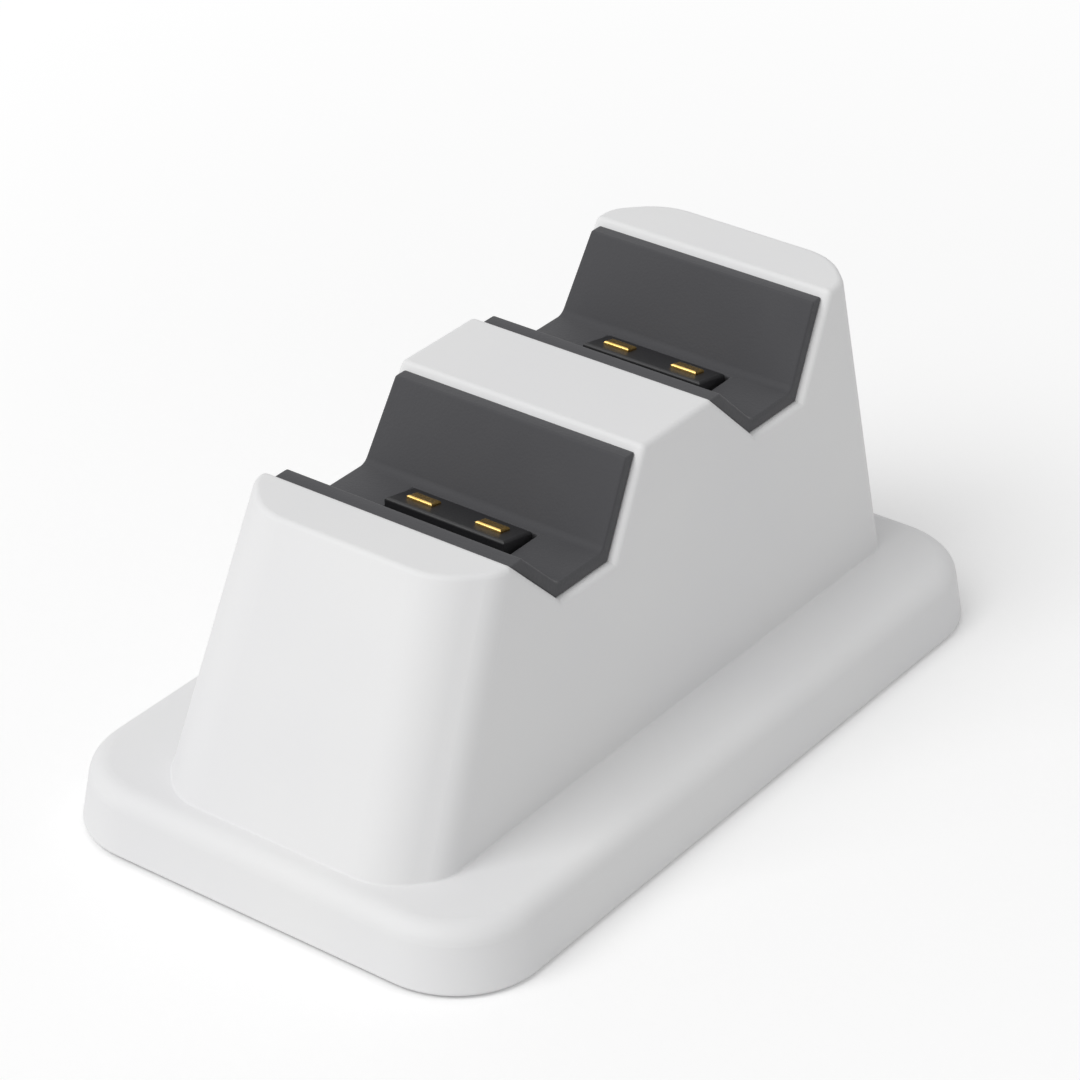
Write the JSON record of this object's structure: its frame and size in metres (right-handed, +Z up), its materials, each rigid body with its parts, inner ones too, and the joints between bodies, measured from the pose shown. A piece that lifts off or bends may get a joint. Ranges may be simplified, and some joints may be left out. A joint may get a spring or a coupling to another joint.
{
  "type": "dual game controller stand",
  "caption": "White desk stand with a tapered column on a rounded base; rubber-lined seats one behind the other hold and charge game controllers leaning back.",
  "frame": {"origin": "on the surface the feet stand on, under the middle of the base", "axes": "+Z up, +Y to the back where the power inlet is, +X to the right seen from the front"},
  "size_m": [0.0698, 0.1198, 0.0529],
  "materials": {
    "white_shell": "satin white, finely textured moulding",
    "cover_plastic": "matte, slightly darker than the housing",
    "seat_rubber": "soft dark grey sheet",
    "foot_rubber": "soft black",
    "contact_plastic": "black moulding",
    "contact_gold": "gold plated",
    "board_laminate": "green lacquered laminate",
    "component_resin": "dark moulded resin",
    "capacitor_can": "bare metal can",
    "ballast_steel": "zinc plated sheet",
    "screw_steel": "zinc plated",
    "inlet_steel": "bright drawn shell",
    "tongue_plastic": "black moulding",
    "lead_sheath": "smooth dark sheath"
  },
  "bodies": {
    "root": {"housing": "white_shell", "bottom_cover": "cover_plastic", "front_seat_liner": "seat_rubber", "rear_seat_liner": "seat_rubber", "foot_front_left": "foot_rubber", "foot_front_right": "foot_rubber", "foot_rear_left": "foot_rubber", "foot_rear_right": "foot_rubber", "front_contact_block": "contact_plastic", "rear_contact_block": "contact_plastic", "lead_sockets": "contact_plastic", "front_contact_left": "contact_gold", "front_contact_right": "contact_gold", "rear_contact_left": "contact_gold", "rear_contact_right": "contact_gold", "main_board": "board_laminate", "front_contact_board": "board_laminate", "rear_contact_board": "board_laminate", "charge_chips": "component_resin", "coils": "component_resin", "capacitors": "capacitor_can", "ballast_plate": "ballast_steel", "cover_screws": "screw_steel", "ballast_screws": "screw_steel", "front_contact_screws": "screw_steel", "rear_contact_screws": "screw_steel", "inlet_shell": "inlet_steel", "inlet_tongue": "tongue_plastic", "front_lead": "lead_sheath", "rear_lead": "lead_sheath"}
  },
  "joints": []
}
